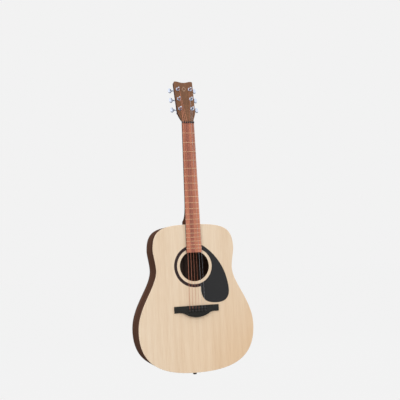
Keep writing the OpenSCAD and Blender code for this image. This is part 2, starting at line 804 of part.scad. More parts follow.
saddle();
bridge_pins();
pickguard();
end_pin();
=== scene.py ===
"""A flat-top acoustic guitar, hanging upright in a pale studio."""
import json
import math

import bpy
from mathutils import Matrix, Vector


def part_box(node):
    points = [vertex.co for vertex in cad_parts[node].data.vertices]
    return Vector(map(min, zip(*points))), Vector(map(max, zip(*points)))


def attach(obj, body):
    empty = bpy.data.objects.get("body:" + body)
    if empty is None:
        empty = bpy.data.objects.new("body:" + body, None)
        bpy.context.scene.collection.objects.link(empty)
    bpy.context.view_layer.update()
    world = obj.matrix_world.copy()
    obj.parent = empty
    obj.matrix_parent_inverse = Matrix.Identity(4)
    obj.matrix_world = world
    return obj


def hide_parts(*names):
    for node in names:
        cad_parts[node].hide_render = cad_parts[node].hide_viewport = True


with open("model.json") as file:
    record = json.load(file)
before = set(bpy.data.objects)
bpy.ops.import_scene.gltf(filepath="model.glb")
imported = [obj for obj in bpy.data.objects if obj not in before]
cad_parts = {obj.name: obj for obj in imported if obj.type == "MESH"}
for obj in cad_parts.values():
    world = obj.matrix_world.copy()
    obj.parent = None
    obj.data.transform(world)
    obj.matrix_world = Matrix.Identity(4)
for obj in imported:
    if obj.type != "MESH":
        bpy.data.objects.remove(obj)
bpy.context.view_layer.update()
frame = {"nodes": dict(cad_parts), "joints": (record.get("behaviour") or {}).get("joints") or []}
JOINTS = {joint["name"]: joint for joint in frame["joints"]}
MM = 0.001
ROOT = "guitar"
STRINGS = range(1, 7)


# ---- places taken from the frame ----
def size_of(node):
    """Lowest corner, highest corner and their difference of a node."""
    low, high = (Vector(corner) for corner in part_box(node))
    return low, high, high - low


BOARD_LOW, BOARD_HIGH, BOARD_SIZE = size_of("soundboard")
FINGER_LOW, _, FINGER_SIZE = size_of("fingerboard")
ROSETTE_LOW, ROSETTE_HIGH, ROSETTE_SIZE = size_of("rosette")
BRIDGE_LOW, BRIDGE_HIGH, BRIDGE_SIZE = size_of("bridge")

BODY_TOP = BOARD_HIGH.z
BODY_LEN = BOARD_SIZE.z
BODY_BOTTOM = BOARD_LOW.z
LOWER_W = BOARD_SIZE.x
UPPER_W = LOWER_W * 287 / 405
WAIST_W = LOWER_W * 269 / 405
PLATE_T = BOARD_SIZE.y
ARCH = 4 * MM
SIDE_T = 2.2 * MM
BINDING_H = 6 * MM
SHOULDER_DEPTH = 96 * MM
TAIL_DEPTH = 116 * MM
HOLE_Z = (ROSETTE_LOW.z + ROSETTE_HIGH.z) / 2
HOLE_R = 51.5 * MM
ROSETTE_OUT = ROSETTE_SIZE.x / 2
ROSETTE_IN = ROSETTE_OUT - 10.5 * MM
GUARD_T = 1.2 * MM

BOARD_T = -FINGER_LOW.y
NUT_W = 43 * MM
NUT_LEN = 5 * MM
BOARD_END = FINGER_LOW.z
BOARD_END_W = FINGER_SIZE.x
BOARD_RADIUS = 400 * MM
FRET_H = 1 * MM
SCALE = 634 * MM
NECK_T = 14.5 * MM
HEAD_T = 15 * MM
HEAD_LEN = 157 * MM
HEAD_HALF = 34 * MM
VENEER_T = 1.5 * MM
FLARE_LEN = 36 * MM
# the headstock's edge from the nut to its straight side, as a curve of (x, height)
HEAD_FLARE = [(NUT_W / 2, 0), (NUT_W / 2 + MM, 13 * MM), (HEAD_HALF - 5 * MM, 20 * MM),
              (HEAD_HALF - 2.5 * MM, FLARE_LEN)]
POST_R = 3 * MM
POST_BORE_R = 4.25 * MM
STRING_R = [r * MM for r in (0.20, 0.26, 0.34, 0.44, 0.56, 0.68)]
NUT_SPREAD = 36 * MM
SADDLE_SPREAD = 54 * MM

POST_AXIS = Vector(JOINTS["post_1_turn"]["axis"])
HEAD_TILT = math.atan2(POST_AXIS.z, -POST_AXIS.y)
HEAD = Matrix.Translation((0, 0, NUT_LEN)) @ Matrix.Rotation(-HEAD_TILT, 4, "X")


def post_at(i):
    """Where string post i's axis crosses the headstock's wood face."""
    return Vector(JOINTS[f"post_{i}_turn"]["pos_m"])


def key_at(i):
    """The middle of tuner button i's worm."""
    return Vector(JOINTS[f"key_{i}_turn"]["pos_m"])


def outward(i):
    """+1 for the treble side's tuners, -1 for the bass side's."""
    return 1 if post_at(i).x > 0 else -1


def fret_z(n):
    return -SCALE * (1 - 2 ** (-n / 12))


def board_half(z):
    return (NUT_W + (BOARD_END_W - NUT_W) * z / BOARD_END) / 2


def crown(x):
    """How far the fingerboard's face falls back at x."""
    return x * x / (2 * BOARD_RADIUS)


def back_y(z):
    return SHOULDER_DEPTH + (TAIL_DEPTH - SHOULDER_DEPTH) * (BODY_TOP - z) / BODY_LEN


# ---- curves ----
def bezier(c, t):
    s = 1 - t
    return tuple(c[0][k] * s ** 3 + 3 * c[1][k] * t * s * s + 3 * c[2][k] * t * t * s
                 + c[3][k] * t ** 3 for k in range(2))


def bezier_way(c, t):
    s = 1 - t
    d = [(c[1][k] - c[0][k]) * s * s + 2 * (c[2][k] - c[1][k]) * t * s
         + (c[3][k] - c[2][k]) * t * t for k in range(2)]
    size = math.hypot(*d)
    return d[0] / size, d[1] / size


def body_curves():
    """The right half of the body's outline, as (x, z) curves from shoulder to tail."""
    upper, waist, lower = UPPER_W / 2, WAIST_W / 2, LOWER_W / 2
    uz, wz, lz = (BODY_TOP - k * BODY_LEN for k in (0.170, 0.306, 0.704))
    up = [k * BODY_LEN for k in (0.149, 0.029, 0.046, 0.111, 0.166, 0.218)]
    return [
        [(0, BODY_TOP), (0.74 * upper, BODY_TOP), (upper, uz + up[0]), (upper, uz)],
        [(upper, uz), (upper, uz - up[1]), (waist, wz + up[2]), (waist, wz)],
        [(waist, wz), (waist, wz - up[3]), (lower, lz + up[4]), (lower, lz)],
        [(lower, lz), (lower, lz - up[5]), (0.65 * lower, BODY_BOTTOM), (0, BODY_BOTTOM)],
    ]


def half_outline(off=0.0):
    """The outline's right half, moved in by off."""
    points, steps = [], 40
    for curve in body_curves():
        for k in range(steps):
            (x, z), (dx, dz) = bezier(curve, k / steps), bezier_way(curve, k / steps)
            points.append((x + off * dz, z - off * dx))
    points.append((0.0, BODY_BOTTOM + off))
    return points


def body_outline(off=0.0):
    half = half_outline(off)
    return half + [(-x, z) for x, z in reversed(half[1:-1])]


def circle(radius, n=128, at=(0.0, 0.0)):
    return [(at[0] + radius * math.cos(2 * math.pi * k / n),
             at[1] + radius * math.sin(2 * math.pi * k / n)) for k in range(n)]


# ---- building pieces ----
def add_piece(name, mesh, material, body=ROOT, sharp=35):
    """Shades a mesh smooth except across sharp edges, and hangs it on a body."""
    mesh.shade_smooth()
    mesh.set_sharp_from_angle(angle=math.radians(sharp))
    mesh.materials.clear()
    mesh.materials.append(material)
    piece = bpy.data.objects.new(name, mesh)
    bpy.context.scene.collection.objects.link(piece)
    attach(piece, body)
    return piece


def mesh_from(name, verts, faces, uvs=None):
    """A mesh, with one place on the grain map for each of its points if uvs are given."""
    mesh = bpy.data.meshes.new(name)
    mesh.from_pydata([tuple(v) for v in verts], [], faces)
    if uvs:
        layer = mesh.uv_layers.new(name="grain")
        for loop in mesh.loops:
            layer.data[loop.index].uv = uvs[loop.vertex_index]
    mesh.validate()
    return mesh


def loft(name, rings, caps=True, uvs=None):
    """A skin over equal closed rings of points, with a face at each end if it has caps."""
    count, size = len(rings), len(rings[0])
    faces = []
    for r in range(count - 1):
        for k in range(size):
            a, b = r * size + k, r * size + (k + 1) % size
            faces.append((a, b, b + size, a + size))
    if caps:
        faces.append(tuple(reversed(range(size))))
        faces.append(tuple(range((count - 1) * size, count * size)))
    return mesh_from(name, [point for ring in rings for point in ring], faces, uvs)


def plate_mesh(name, loops, y0, y1, edge, place=None):
    """A flat plate from (x, z) loops, its front at y0 and its back at y1, with round edges."""
    curve = bpy.data.curves.new(name, "CURVE")
    curve.dimensions = "2D"
    curve.fill_mode = "BOTH"
    curve.extrude = (y1 - y0) / 2 - edge
    curve.bevel_depth = edge
    curve.bevel_resolution = 3
    curve.offset = -edge
    for loop in loops:
        spline = curve.splines.new("POLY")
        spline.points.add(len(loop) - 1)
        for point, (x, z) in zip(spline.points, loop):
            point.co = (x, z, 0, 1)
        spline.use_cyclic_u = True
    holder = bpy.data.objects.new(name, curve)
    bpy.context.scene.collection.objects.link(holder)
    bpy.context.view_layer.update()
    solid = holder.evaluated_get(bpy.context.evaluated_depsgraph_get())
    mesh = bpy.data.meshes.new_from_object(solid)
    bpy.data.objects.remove(holder)
    mesh.transform(Matrix.Translation((0, (y0 + y1) / 2, 0)) @ Matrix.Rotation(math.pi / 2, 4, "X"))
    if place is not None:
        mesh.transform(place)
    return mesh


def lathe_mesh(name, profile, place, n=48):
    """A turned piece: (radius, height) points turned about z, then placed."""
    rings = [[place @ Vector((r * math.cos(2 * math.pi * k / n),
                              r * math.sin(2 * math.pi * k / n), h)) for k in range(n)]
             for r, h in profile]
    return loft(name, rings)


def facing(origin, way):
    """A placing whose z axis points along way."""
    return Matrix.Translation(origin) @ way.to_track_quat("Z", "Y").to_matrix().to_4x4()


def tube_mesh(name, path, radius, sides=12):
    """A round tube along a path, with its length along the grain map's u."""
    rings, uvs, run = [], [], 0.0
    side = Vector((1, 0, 0))
    for k, point in enumerate(path):
        before, after = path[max(0, k - 1)], path[min(len(path) - 1, k + 1)]
        way = (after - before).normalized()
        run += (point - before).length
        side = (side - way * side.dot(way)).normalized()
        other = way.cross(side)
        turns = [2 * math.pi * s / sides for s in range(sides)]
        rings.append([point + radius * (math.cos(a) * side + math.sin(a) * other) for a in turns])
        uvs += [(run, s / sides) for s in range(sides)]
    return loft(name, rings, uvs=uvs)


def merged(name, meshes):
    """One mesh made of several."""
    verts, faces, uvs, has_uv = [], [], [], False
    for mesh in meshes:
        base = len(verts)
        verts += [vertex.co.copy() for vertex in mesh.vertices]
        faces += [tuple(base + v for v in face.vertices) for face in mesh.polygons]
        layer = mesh.uv_layers.get("grain")
        spots = [(0.0, 0.0)] * len(mesh.vertices)
        if layer:
            has_uv = True
            for loop in mesh.loops:
                spots[loop.vertex_index] = tuple(layer.data[loop.index].uv)
        uvs += spots
        bpy.data.meshes.remove(mesh)
    return mesh_from(name, verts, faces, uvs if has_uv else None)


def dress(node, material, edge=0.0, sharp=30):
    """Gives a CAD node its material and softens its edges."""
    piece = frame["nodes"][node]
    piece.data.materials.clear()
    piece.data.materials.append(material)
    weld = piece.modifiers.new("weld", "WELD")
    weld.merge_threshold = 0.005 * MM
    if edge:
        bevel = piece.modifiers.new("edges", "BEVEL")
        bevel.width = edge
        bevel.segments = 3
        bevel.limit_method = "ANGLE"
        bevel.angle_limit = math.radians(sharp)
        bevel.harden_normals = True
    return piece


# ---- shader nodes ----
def tone(red, green, blue):
    """A colour given by its screen values, 0 to 255, as the shader wants it."""
    def linear(value):
        value /= 255
        return value / 12.92 if value <= 0.04045 else ((value + 0.055) / 1.055) ** 2.4
    return (linear(red), linear(green), linear(blue), 1.0)


def add_node(tree, kind, **settings):
    """Adds a node. Settings that name a property are set on it, and links and values on inputs."""
    node = tree.nodes.new(kind)
    inputs = settings.pop("inputs", {})
    for key, value in settings.items():
        setattr(node, key, value)
    for key, value in inputs.items():
        if isinstance(value, bpy.types.NodeSocket):
            tree.links.new(value, node.inputs[key])
        else:
            node.inputs[key].default_value = value
    return node


def calc(tree, operation, *values, clamp=False):
    """A sum done on sockets or plain numbers."""
    return add_node(tree, "ShaderNodeMath", operation=operation, use_clamp=clamp,
                    inputs=dict(enumerate(values))).outputs[0]


def spread(tree, value, low, high, to_low=0.0, to_high=1.0, **settings):
    """Values from low to high, spread over to_low to to_high."""
    return add_node(tree, "ShaderNodeMapRange", inputs={
        "Value": value, "From Min": low, "From Max": high, "To Min": to_low,
        "To Max": to_high}, **settings).outputs[0]


def noise(tree, place, scale, detail, rough=0.5):
    return add_node(tree, "ShaderNodeTexNoise", inputs={
        "Vector": place, "Scale": scale, "Detail": detail, "Roughness": rough}).outputs["Fac"]


def mix(tree, factor, first, second, blend="MIX"):
    return add_node(tree, "ShaderNodeMix", data_type="RGBA", blend_type=blend,
                    inputs={0: factor, 6: first, 7: second}).outputs[2]


def object_place(tree):
    return add_node(tree, "ShaderNodeTexCoord").outputs["Object"]


def parts_of(tree, vector):
    return add_node(tree, "ShaderNodeSeparateXYZ", inputs={0: vector}).outputs


def joined(tree, x, y, z):
    return add_node(tree, "ShaderNodeCombineXYZ", inputs={"X": x, "Y": y, "Z": z}).outputs[0]


def drawn_out(tree, place, share):
    """Places with z shrunk to a share, so that a pattern on them comes out long in z."""
    return add_node(tree, "ShaderNodeVectorMath", operation="MULTIPLY",
                    inputs={0: place, 1: (1.0, 1.0, share)}).outputs[0]


def grain_map(tree):
    """The grain map's parts: X runs along the grain and Y across it."""
    return parts_of(tree, add_node(tree, "ShaderNodeUVMap", uv_map="grain").outputs["UV"])


# ---- shader groups ----
def new_group(name, inputs, outputs):
    """An empty shader node group, the sockets that come in and the node that they go out by."""
    tree = bpy.data.node_groups.new(name, "ShaderNodeTree")
    for label, kind, default in inputs:
        socket = tree.interface.new_socket(label, in_out="INPUT", socket_type=kind)
        if default is not None:
            socket.default_value = default
    for label, kind in outputs:
        tree.interface.new_socket(label, in_out="OUTPUT", socket_type=kind)
    return tree, tree.nodes.new("NodeGroupInput").outputs, tree.nodes.new("NodeGroupOutput")


def grain_group():
    """Wood cut along its grain: Along is the place with z along the grain, in metres."""
    tree, given, out = new_group("wood_grain", [
        ("Along", "NodeSocketVector", None),
        ("Lines per metre", "NodeSocketFloat", 500.0),
        ("Line strength", "NodeSocketFloat", 0.5),
        ("Streak strength", "NodeSocketFloat", 0.5),
        ("Pore strength", "NodeSocketFloat", 0.0),
        ("Light", "NodeSocketColor", (1, 1, 1, 1)),
        ("Dark", "NodeSocketColor", (0, 0, 0, 1)),
    ], [("Color", "NodeSocketColor"), ("Height", "NodeSocketFloat")])
    long_place = drawn_out(tree, given["Along"], 0.035)
    parts = parts_of(tree, long_place)
    wander = calc(tree, "MULTIPLY", noise(tree, long_place, 9.0, 2.0), 30 * MM)
    place = joined(tree, calc(tree, "ADD", parts["X"], wander), parts["Y"], parts["Z"])
    lines = spread(tree, noise(tree, place, given["Lines per metre"], 3.0, 0.6), 0.35, 0.65)
    streaks = spread(tree, noise(tree, place, 45.0, 3.0), 0.3, 0.7)
    cells = add_node(tree, "ShaderNodeTexVoronoi", feature="F1", inputs={
        "Vector": drawn_out(tree, given["Along"], 0.06), "Scale": 900.0})
    pores = spread(tree, cells.outputs["Distance"], 0.12, 0.3, 1.0, 0.0)
    dark = calc(tree, "MULTIPLY", lines, given["Line strength"])
    dark = calc(tree, "MULTIPLY_ADD", streaks, given["Streak strength"], dark)
    dark = calc(tree, "MULTIPLY_ADD", pores, given["Pore strength"], dark, clamp=True)
    tree.links.new(mix(tree, dark, given["Light"], given["Dark"]), out.inputs["Color"])
    tree.links.new(calc(tree, "SUBTRACT", 1.0, dark), out.inputs["Height"])
    return tree


def handling_group():
    """Polish marks: a roughness that wanders between two values."""
    tree, given, out = new_group("handling", [
        ("Smooth", "NodeSocketFloat", 0.2), ("Rough", "NodeSocketFloat", 0.4),
        ("Scale", "NodeSocketFloat", 20.0),
    ], [("Roughness", "NodeSocketFloat"), ("Mask", "NodeSocketFloat")])
    marks = noise(tree, object_place(tree), given["Scale"], 5.0, 0.65)
    rough = spread(tree, marks, 0.3, 0.7, given["Smooth"], given["Rough"])
    tree.links.new(rough, out.inputs["Roughness"])
    tree.links.new(marks, out.inputs["Mask"])
    return tree


GRAIN = grain_group()
HANDLING = handling_group()


# ---- finishes ----
def new_material(name):
    material = bpy.data.materials.new(name)
    material.use_nodes = True
    tree = material.node_tree
    return material, tree, tree.nodes["Principled BSDF"]


def place_group(tree, group, **values):
    """A group in a material's tree, each input set or linked by its name."""
    node = tree.nodes.new("ShaderNodeGroup")
    node.node_tree = group
    for label, value in values.items():
        socket = node.inputs[label.replace("_", " ")]
        if isinstance(value, bpy.types.NodeSocket):
            tree.links.new(value, socket)
        else:
            socket.default_value = value
    return node.outputs


def polish(tree, shader, smooth, rough, scale=20.0):
    """Polish marks on the roughness. Gives back their mask."""
    marks = place_group(tree, HANDLING, Smooth=smooth, Rough=rough, Scale=scale)
    tree.links.new(marks["Roughness"], shader.inputs["Roughness"])
    return marks["Mask"]


def raise_surface(tree, shader, height, strength, distance):
    bump = add_node(tree, "ShaderNodeBump", inputs={
        "Height": height, "Strength": strength, "Distance": distance})
    tree.links.new(bump.outputs["Normal"], shader.inputs["Normal"])


def wood(name, light, dark, lines, line, streak, pore=0.0, coat=0.3, smooth=0.35, rough=0.5,
         shine=0.5, turn=(0.0, 0.0, 0.0), mapped=False, bump=0.15):
    """A wood finish. turn puts the grain's z axis where the board has it."""
    material, tree, shader = new_material(name)
    if mapped:
        parts = grain_map(tree)
        place = joined(tree, parts["Y"], 0.0, parts["X"])
    else:
        place = object_place(tree)
        if any(turn):
            place = add_node(tree, "ShaderNodeMapping",
                             inputs={"Vector": place, "Rotation": turn}).outputs[0]
    figure = place_group(tree, GRAIN, Along=place, Lines_per_metre=lines, Line_strength=line,
                         Streak_strength=streak, Pore_strength=pore, Light=light, Dark=dark)
    tree.links.new(figure["Color"], shader.inputs["Base Color"])
    polish(tree, shader, smooth, rough)
    shader.inputs["Specular IOR Level"].default_value = shine
    shader.inputs["Coat Weight"].default_value = coat
    shader.inputs["Coat Roughness"].default_value = 0.12
    raise_surface(tree, shader, figure["Height"], bump, 0.2 * MM)
    return material


def plain(name, colour, smooth, rough, metallic=0.0, scale=30.0, shine=0.5):
    """Moulded plastic, lacquer or metal with polish marks, a little lighter where it is rubbed."""
    material, tree, shader = new_material(name)
    shader.inputs["Metallic"].default_value = metallic
    shader.inputs["Specular IOR Level"].default_value = shine
    marks = polish(tree, shader, smooth, rough, scale)
    fresh, rubbed = ([min(1.0, k * value) for value in colour[:3]] + [1.0] for k in (0.88, 1.12))
    tree.links.new(mix(tree, marks, fresh, rubbed), shader.inputs["Base Color"])
    return material


def spruce_top_material():
    """Book-matched spruce: both halves mirror about the centre seam, with painted shade making it
    darker and warmer low on the right.
    """
    material, tree, shader = new_material("spruce_top")
    place = object_place(tree)
    parts = parts_of(tree, place)
    matched = joined(tree, calc(tree, "ABSOLUTE", parts["X"]), parts["Y"], parts["Z"])
    figure = place_group(tree, GRAIN, Along=matched, Lines_per_metre=420.0,
                         Line_strength=0.32, Streak_strength=0.42,
                         Light=tone(243, 225, 201), Dark=tone(220, 191, 158))
    # long soft changes of tone from board to board
    slow = noise(tree, drawn_out(tree, place, 0.12), 16.0, 1.0)
    # painted shade: the board is made darker and warmer towards its lower right, where less light
    # falls
    right = spread(tree, parts["X"], -0.16, 0.2)
    low = spread(tree, parts["Z"], -0.45, -0.80)
    painted_shade_low_right = calc(tree, "MULTIPLY", right, low)
    board_tone_and_painted_shade = calc(tree, "MULTIPLY_ADD", slow, 0.35, painted_shade_low_right, clamp=True)
    toned_and_shaded = mix(tree, board_tone_and_painted_shade, figure["Color"], (0.93, 0.83, 0.72, 1.0), "MULTIPLY")
    tree.links.new(toned_and_shaded, shader.inputs["Base Color"])
    polish(tree, shader, 0.38, 0.5)
    shader.inputs["Specular IOR Level"].default_value = 0.25
    raise_surface(tree, shader, figure["Height"], 0.12, 0.2 * MM)
    return material


def fingerboard_material():
    """Red-brown wood, with a darker band of heartwood along its middle."""
    material = wood("board_wood", tone(232, 152, 120), tone(124, 76, 61), 300.0, 0.12, 0.6, 0.2,
                    coat=0.0, smooth=0.5, rough=0.65, shine=0.15)
    tree = material.node_tree
    colour = tree.nodes["Principled BSDF"].inputs["Base Color"]
    figure = colour.links[0].from_socket
    place = object_place(tree)
    wander = noise(tree, drawn_out(tree, place, 0.06), 90.0, 2.0)
    moved = calc(tree, "MULTIPLY_ADD", wander, 10 * MM, parts_of(tree, place)["X"])
    heart = spread(tree, calc(tree, "ABSOLUTE", moved), 5 * MM, 11 * MM, 1.0, 0.0,
                   interpolation_type="SMOOTHSTEP")
    banded = mix(tree, heart, figure, (0.64, 0.62, 0.72, 1.0), "MULTIPLY")
    # the faces turned sideways, along the long edges, are darker
    way = add_node(tree, "ShaderNodeNewGeometry").outputs["Normal"]
    edge = spread(tree, calc(tree, "ABSOLUTE", parts_of(tree, way)["X"]), 0.5, 0.8)
    tree.links.new(mix(tree, edge, banded, tone(64, 40, 32)), colour)
    return material


def wound_material():
    """Bronze wire wound round a steel core: the turns show as fine ribs."""
    material, tree, shader = new_material("wound_bronze")
    shader.inputs["Base Color"].default_value = tone(204, 136, 112)
    shader.inputs["Metallic"].default_value = 1.0
    polish(tree, shader, 0.25, 0.45, 300.0)
    winding = 0.4 * MM
    phase = calc(tree, "MULTIPLY", grain_map(tree)["X"], 2 * math.pi / winding)
    raise_surface(tree, shader, calc(tree, "SINE", phase), 0.5, 0.08 * MM)
    return material


MATERIALS = {
    "spruce_top": spruce_top_material(),
    "brace_wood": wood("brace_wood", tone(226, 203, 165), tone(196, 166, 124), 450.0, 0.35, 0.3,
                       coat=0.0, smooth=0.6, rough=0.75),
    "side_wood": wood("side_wood", tone(98, 71, 59), tone(62, 43, 34), 260.0, 0.4, 0.5, 0.35,
                      coat=0.0, smooth=0.55, rough=0.7, mapped=True, shine=0.0),
    "back_wood": wood("back_wood", tone(92, 66, 53), tone(52, 36, 28), 220.0, 0.45, 0.55, 0.35,
                      coat=0.05, smooth=0.4, rough=0.55, shine=0.2),
    "neck_wood": wood("neck_wood", tone(94, 62, 47), tone(58, 39, 30), 300.0, 0.3, 0.45, 0.4,
                      coat=0.0, smooth=0.5, rough=0.65, shine=0.0),
    "head_wood": wood("head_wood", tone(137, 93, 62), tone(90, 57, 36), 300.0, 0.3, 0.5, 0.4,
                      coat=0.08, smooth=0.35, rough=0.5, shine=0.25),
    "board_wood": fingerboard_material(),
    "black_gloss": plain("black_gloss", tone(45, 45, 46), 0.3, 0.42, scale=14.0, shine=0.15),
    "black_binding": plain("black_binding", tone(30, 26, 24), 0.3, 0.42, shine=0.3),
    "black_bridge": wood("black_bridge", tone(45, 45, 43), tone(32, 32, 30), 420.0, 0.35, 0.4,
                         0.3, coat=0.0, smooth=0.5, rough=0.65, shine=0.12,
                         turn=(0.0, math.pi / 2, 0.0), bump=0.1),
    "black_plastic": plain("black_plastic", tone(38, 36, 36), 0.3, 0.42, shine=0.3),
    "chrome": plain("chrome", tone(194, 202, 218), 0.16, 0.28, metallic=1.0, scale=60.0),
    "nickel": plain("nickel", tone(244, 212, 174), 0.2, 0.35, metallic=1.0, scale=90.0),
    "steel": plain("steel", tone(190, 194, 202), 0.2, 0.4, metallic=1.0, scale=200.0),
    "wound": wound_material(),
    "rosette_dark": plain("rosette_dark", tone(50, 36, 36), 0.35, 0.5, shine=0.2),
    "rosette_stripe": plain("rosette_stripe", tone(74, 54, 50), 0.35, 0.5, shine=0.2),
    "inlay_gold": plain("inlay_gold", tone(168, 134, 108), 0.3, 0.45),
}


# ---- body ----
def build_soundboard():
    mesh = plate_mesh("spruce_board", [body_outline(), circle(HOLE_R, at=(0, HOLE_Z))],
                      0.0, PLATE_T, 0.7 * MM)
    board = add_piece("spruce_board", mesh, MATERIALS["spruce_top"])
    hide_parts("soundboard")


def build_rosette():
    """A dark ring between two fine lines, standing a hair proud of the board."""
    proud, sunk, edge = 0.06 * MM, 0.5 * MM, 0.02 * MM
    line = 0.5 * MM
    at = (0, HOLE_Z)
    bands = [("rosette_ring", ROSETTE_IN + 2 * line, ROSETTE_OUT - 2 * line, "rosette_dark"),
             ("rosette_inner_line", ROSETTE_IN, ROSETTE_IN + line, "rosette_dark"),
             ("rosette_outer_line", ROSETTE_OUT - line, ROSETTE_OUT, "rosette_dark"),
             ("rosette_inner_stripe", ROSETTE_IN + line, ROSETTE_IN + 2 * line, "rosette_stripe"),
             ("rosette_outer_stripe", ROSETTE_OUT - 2 * line, ROSETTE_OUT - line,
              "rosette_stripe")]
    for name, inner, outer, finish in bands:
        mesh = plate_mesh(name, [circle(outer, 160, at), circle(inner, 160, at)],
                          -proud, sunk, edge)
        band = add_piece(name, mesh, MATERIALS[finish])
        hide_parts("rosette")


def build_side(name, node, hand):
    """One bent side, from the soundboard's back to the binding."""
    rows = 10
    outer, inner = half_outline(), half_outline(SIDE_T)
    run, runs = 0.0, [0.0]
    for (x0, z0), (x1, z1) in zip(outer, outer[1:]):
        run += math.hypot(x1 - x0, z1 - z0)
        runs.append(run)
    rings, uvs = [], []
    for (xo, zo), (xi, zi), along in zip(outer, inner, runs):
        ring = []
        for k in range(rows + 1):
            depth = PLATE_T + (back_y(zo) - BINDING_H - PLATE_T) * k / rows
            ring.append(Vector((hand * xo, depth, zo)))
            uvs.append((along, depth))
        for k in range(rows, -1, -1):
            depth = PLATE_T + (back_y(zi) - BINDING_H - PLATE_T) * k / rows
            ring.append(Vector((hand * xi, depth, zi)))
            uvs.append((along, depth))
        rings.append(ring)
    mesh = loft(name, rings, uvs=uvs)
    if hand < 0:
        mesh.flip_normals()
    side = add_piece(name, mesh, MATERIALS["side_wood"])
    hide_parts(node)


def build_back():
    """The back, a little arched, inside its black binding."""
    centre = (0.0, (BODY_TOP + BODY_BOTTOM) / 2)
    outline = body_outline(SIDE_T)
    shells = []
    for inward, lift in ((1, 0), (-1, -PLATE_T)):
        rings = []
        for s in (1.0, 0.97, 0.9, 0.75, 0.6, 0.45, 0.3, 0.15, 0.02):
            ring = []
            for x, z in outline:
                px, pz = centre[0] + s * (x - centre[0]), centre[1] + s * (z - centre[1])
                ring.append(Vector((px, back_y(pz) + lift + ARCH * (1 - s * s), pz)))
            rings.append(ring)
        shells.append(rings)
    rings = list(reversed(shells[1])) + shells[0]
    mesh = loft("back_board", rings)
    back = add_piece("back_board", mesh, MATERIALS["back_wood"])
    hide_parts("back_plate")
    strip_half, proud = 1.6 * MM, 0.12 * MM
    rings = []
    for k in range(41):
        z = BODY_TOP - SIDE_T - (BODY_LEN - 2 * SIDE_T) * k / 40
        s = abs(z - centre[1]) / (BODY_LEN / 2)
        y = back_y(z) + ARCH * (1 - s * s)
        rings.append([Vector((x, y + dy, z)) for x, dy in (
            (-strip_half, -MM), (-strip_half, proud), (strip_half, proud), (strip_half, -MM))])
    seam = add_piece("back_seam", loft("back_seam", rings), MATERIALS["black_binding"])


def build_binding():
    """Black binding round the back's edge, rounded on the outside."""
    outer, inner = body_outline(), body_outline(SIDE_T)
    edge = 1.2 * MM
    rings = []
    for (xo, zo), (xi, zi) in zip(outer, inner):
        y = back_y(zo)
        out = Vector((xo - xi, 0, zo - zi)).normalized()
        ring = [Vector((xi, y - BINDING_H, zi)), Vector((xo, y - BINDING_H, zo))]
        for k in range(5):
            a = math.pi / 2 * k / 4
            base = Vector((xo, y - edge, zo)) - out * edge
            ring.append(base + out * edge * math.cos(a) + Vector((0, edge * math.sin(a), 0)))
        ring.append(Vector((xi, y, zi)))
        rings.append(ring)
    rings.append(rings[0])
    mesh = loft("back_edge", rings, caps=False)
    binding = add_piece("back_edge", mesh, MATERIALS["black_binding"])
    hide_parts("back_binding")


def build_pickguard():
    def spot(x, rise):
        return (x * MM, HOLE_Z + rise * MM)
    tip = (board_half(HOLE_Z + 60 * MM) + 2 * MM, HOLE_Z + ROSETTE_OUT - MM)
    lobe = [
        [tip, spot(64, 50), spot(100, 6), spot(112, -42)],
        [spot(112, -42), spot(124, -88), spot(126, -126), spot(74, -127)],
        [spot(74, -127), spot(30, -126), spot(18, -112), spot(18.5, -62)],
    ]
    points = [bezier(curve, k / 24) for curve in lobe for k in range(24)]
    # the inner edge follows the rosette's inside back up to the tip
    start = math.atan2(-59.7, 18.5)
    end = math.atan2(tip[1] - HOLE_Z, tip[0])
    rim = ROSETTE_IN + 0.3 * MM
    points += [(rim * math.cos(start + (end - start) * k / 48),
                HOLE_Z + rim * math.sin(start + (end - start) * k / 48)) for k in range(49)]
    mesh = plate_mesh("guard_plate", [points], -GUARD_T, -0.08 * MM, 0.35 * MM)
    guard = add_piece("guard_plate", mesh, MATERIALS["black_gloss"])
    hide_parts("pickguard")


# ---- neck and headstock ----
HEEL_START = BODY_TOP + 76 * MM
HEEL_DEPTH = SHOULDER_DEPTH - 11 * MM
CAP_LEN = 13 * MM


def heel_share(z):
    return max(0.0, min(1.0, (HEEL_START - z) / (HEEL_START - BODY_TOP - CAP_LEN)))


def neck_ring(z):
    """The neck's D section at z, growing into the heel near the body."""
    s = heel_share(z)
    sides, thicker, past_cap = 40, 2 * MM, 9 * MM
    shaft = NECK_T + thicker * min(1, z / HEEL_START)
    sweep = (1 - math.sqrt(1 - (0.985 * s) ** 2)) / 0.827
    depth = shaft + (HEEL_DEPTH + past_cap - shaft) * sweep
    p, q = 2 - 0.75 * s, 2 + 0.9 * s
    ring = []
    for k in range(sides + 1):
        a = math.pi * k / sides
        c = math.cos(a)
        x = board_half(z) * math.copysign(abs(c) ** (2 / p), c)
        ring.append(Vector((x, min(HEEL_DEPTH, depth * math.sin(a) ** (2 / q)), z)))
    return ring


def head_half_width(u):
    """Half the headstock's width at height u, over its flare."""
    low, high = 0.0, 1.0
    for _ in range(24):
        middle = (low + high) / 2
        low, high = (middle, high) if bezier(HEAD_FLARE, middle)[1] < u else (low, middle)
    return bezier(HEAD_FLARE, low)[0]


def blend_ring(u):
    """The carved change from the neck's D to the headstock's slab, at height u."""
    sides, lean_over = 40, 10 * MM
    share = min(1.0, u / FLARE_LEN)
    power = 2 + 9 * share ** 1.3
    depth = NECK_T + (HEAD_T - NECK_T) * share
    half = head_half_width(u) - 0.25 * MM * share
    ring = []
    for k in range(sides + 1):
        a = math.pi * k / sides
        c, s = math.cos(a), math.sin(a)
        point = Vector((half * math.copysign(abs(c) ** (2 / power), c),
                        depth * s ** (2 / power), u))
        lean = Matrix.Rotation(-HEAD_TILT * min(1.0, (u + 2 * MM) / lean_over), 4, "X")
        ring.append(Matrix.Translation((0, 0, NUT_LEN)) @ lean @ point)
    return ring


